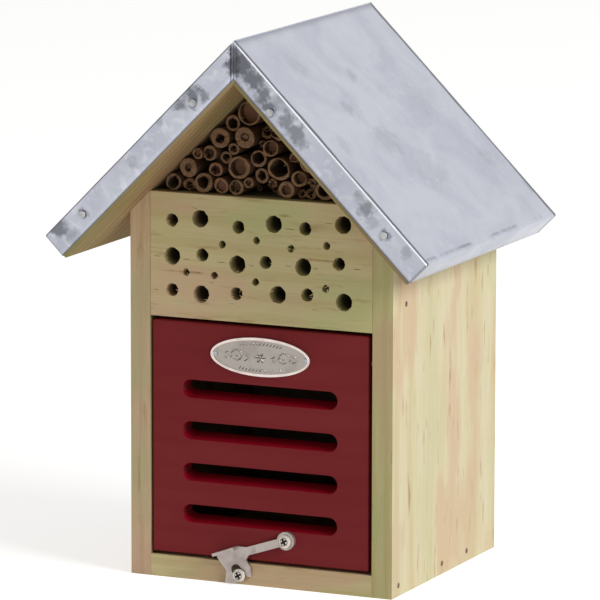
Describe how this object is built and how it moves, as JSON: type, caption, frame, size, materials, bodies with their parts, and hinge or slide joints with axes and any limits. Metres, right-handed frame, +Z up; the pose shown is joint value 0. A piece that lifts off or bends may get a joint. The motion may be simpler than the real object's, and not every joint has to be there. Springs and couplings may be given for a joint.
{
  "type": "insect hotel",
  "caption": "Wooden insect house with drilled block, reeds, slotted flap door and pitched metal roof.",
  "frame": {"origin": "middle of the outline seen from above, at the underside of the boards", "axes": "+X to the right as seen from the front, +Y towards the back, +Z up; the door faces -Y"},
  "size_m": [0.1876, 0.1532, 0.2528],
  "materials": {
    "pine": "bare sawn pine, weathered a little",
    "dowel_wood": "bare dowel",
    "red_wood": "dark red stain",
    "zinc_sheet": "matt galvanised sheet",
    "nail_steel": "dull galvanised",
    "plate_steel": "pressed tinplate, slightly matt",
    "screw_steel": "zinc plated",
    "hook_steel": "zinc plated sheet",
    "reed": "dry reed and bamboo"
  },
  "bodies": {
    "house": {"side_board_left": "pine", "side_board_right": "pine", "bottom_board": "pine", "back_board": "pine", "drilled_block": "pine", "roof_board_left": "pine", "roof_board_right": "pine", "roof_cap": "zinc_sheet", "roof_nails": "nail_steel", "body_nails": "nail_steel", "pivot_dowels": "dowel_wood", "keeper_screw": "screw_steel", "reed_01": "reed", "reed_02": "reed", "reed_03": "reed", "reed_04": "reed", "reed_05": "reed", "reed_06": "reed", "reed_07": "reed", "reed_08": "reed", "reed_09": "reed", "reed_10": "reed", "reed_11": "reed", "reed_12": "reed", "reed_13": "reed", "reed_14": "reed", "reed_15": "reed", "reed_16": "reed", "reed_17": "reed", "reed_18": "reed", "reed_19": "reed", "reed_20": "reed", "reed_21": "reed", "reed_22": "reed", "reed_23": "reed", "reed_24": "reed", "reed_25": "reed", "reed_26": "reed", "reed_27": "reed", "reed_28": "reed", "reed_29": "reed", "reed_30": "reed", "reed_31": "reed", "reed_32": "reed", "reed_33": "reed", "reed_34": "reed", "reed_35": "reed", "reed_36": "reed", "reed_37": "reed", "reed_38": "reed", "reed_39": "reed", "reed_40": "reed", "reed_41": "reed", "reed_42": "reed"},
    "door": {"door_panel": "red_wood", "nameplate": "plate_steel", "nameplate_pins": "nail_steel", "hook_screw": "screw_steel"},
    "latch": {"latch_hook": "hook_steel"}
  },
  "joints": [
    {"name": "door_hinge", "type": "hinge", "parent": "house", "child": "door", "pos_m": [0, -0.0415, 0.1063], "axis": [-1, 0, 0], "range_deg": [0, 135]},
    {"name": "latch_pivot", "type": "hinge", "parent": "door", "child": "latch", "pos_m": [0.0132, -0.0475, 0.0224], "axis": [0, 1, 0], "range_deg": [-4, 250]}
  ]
}
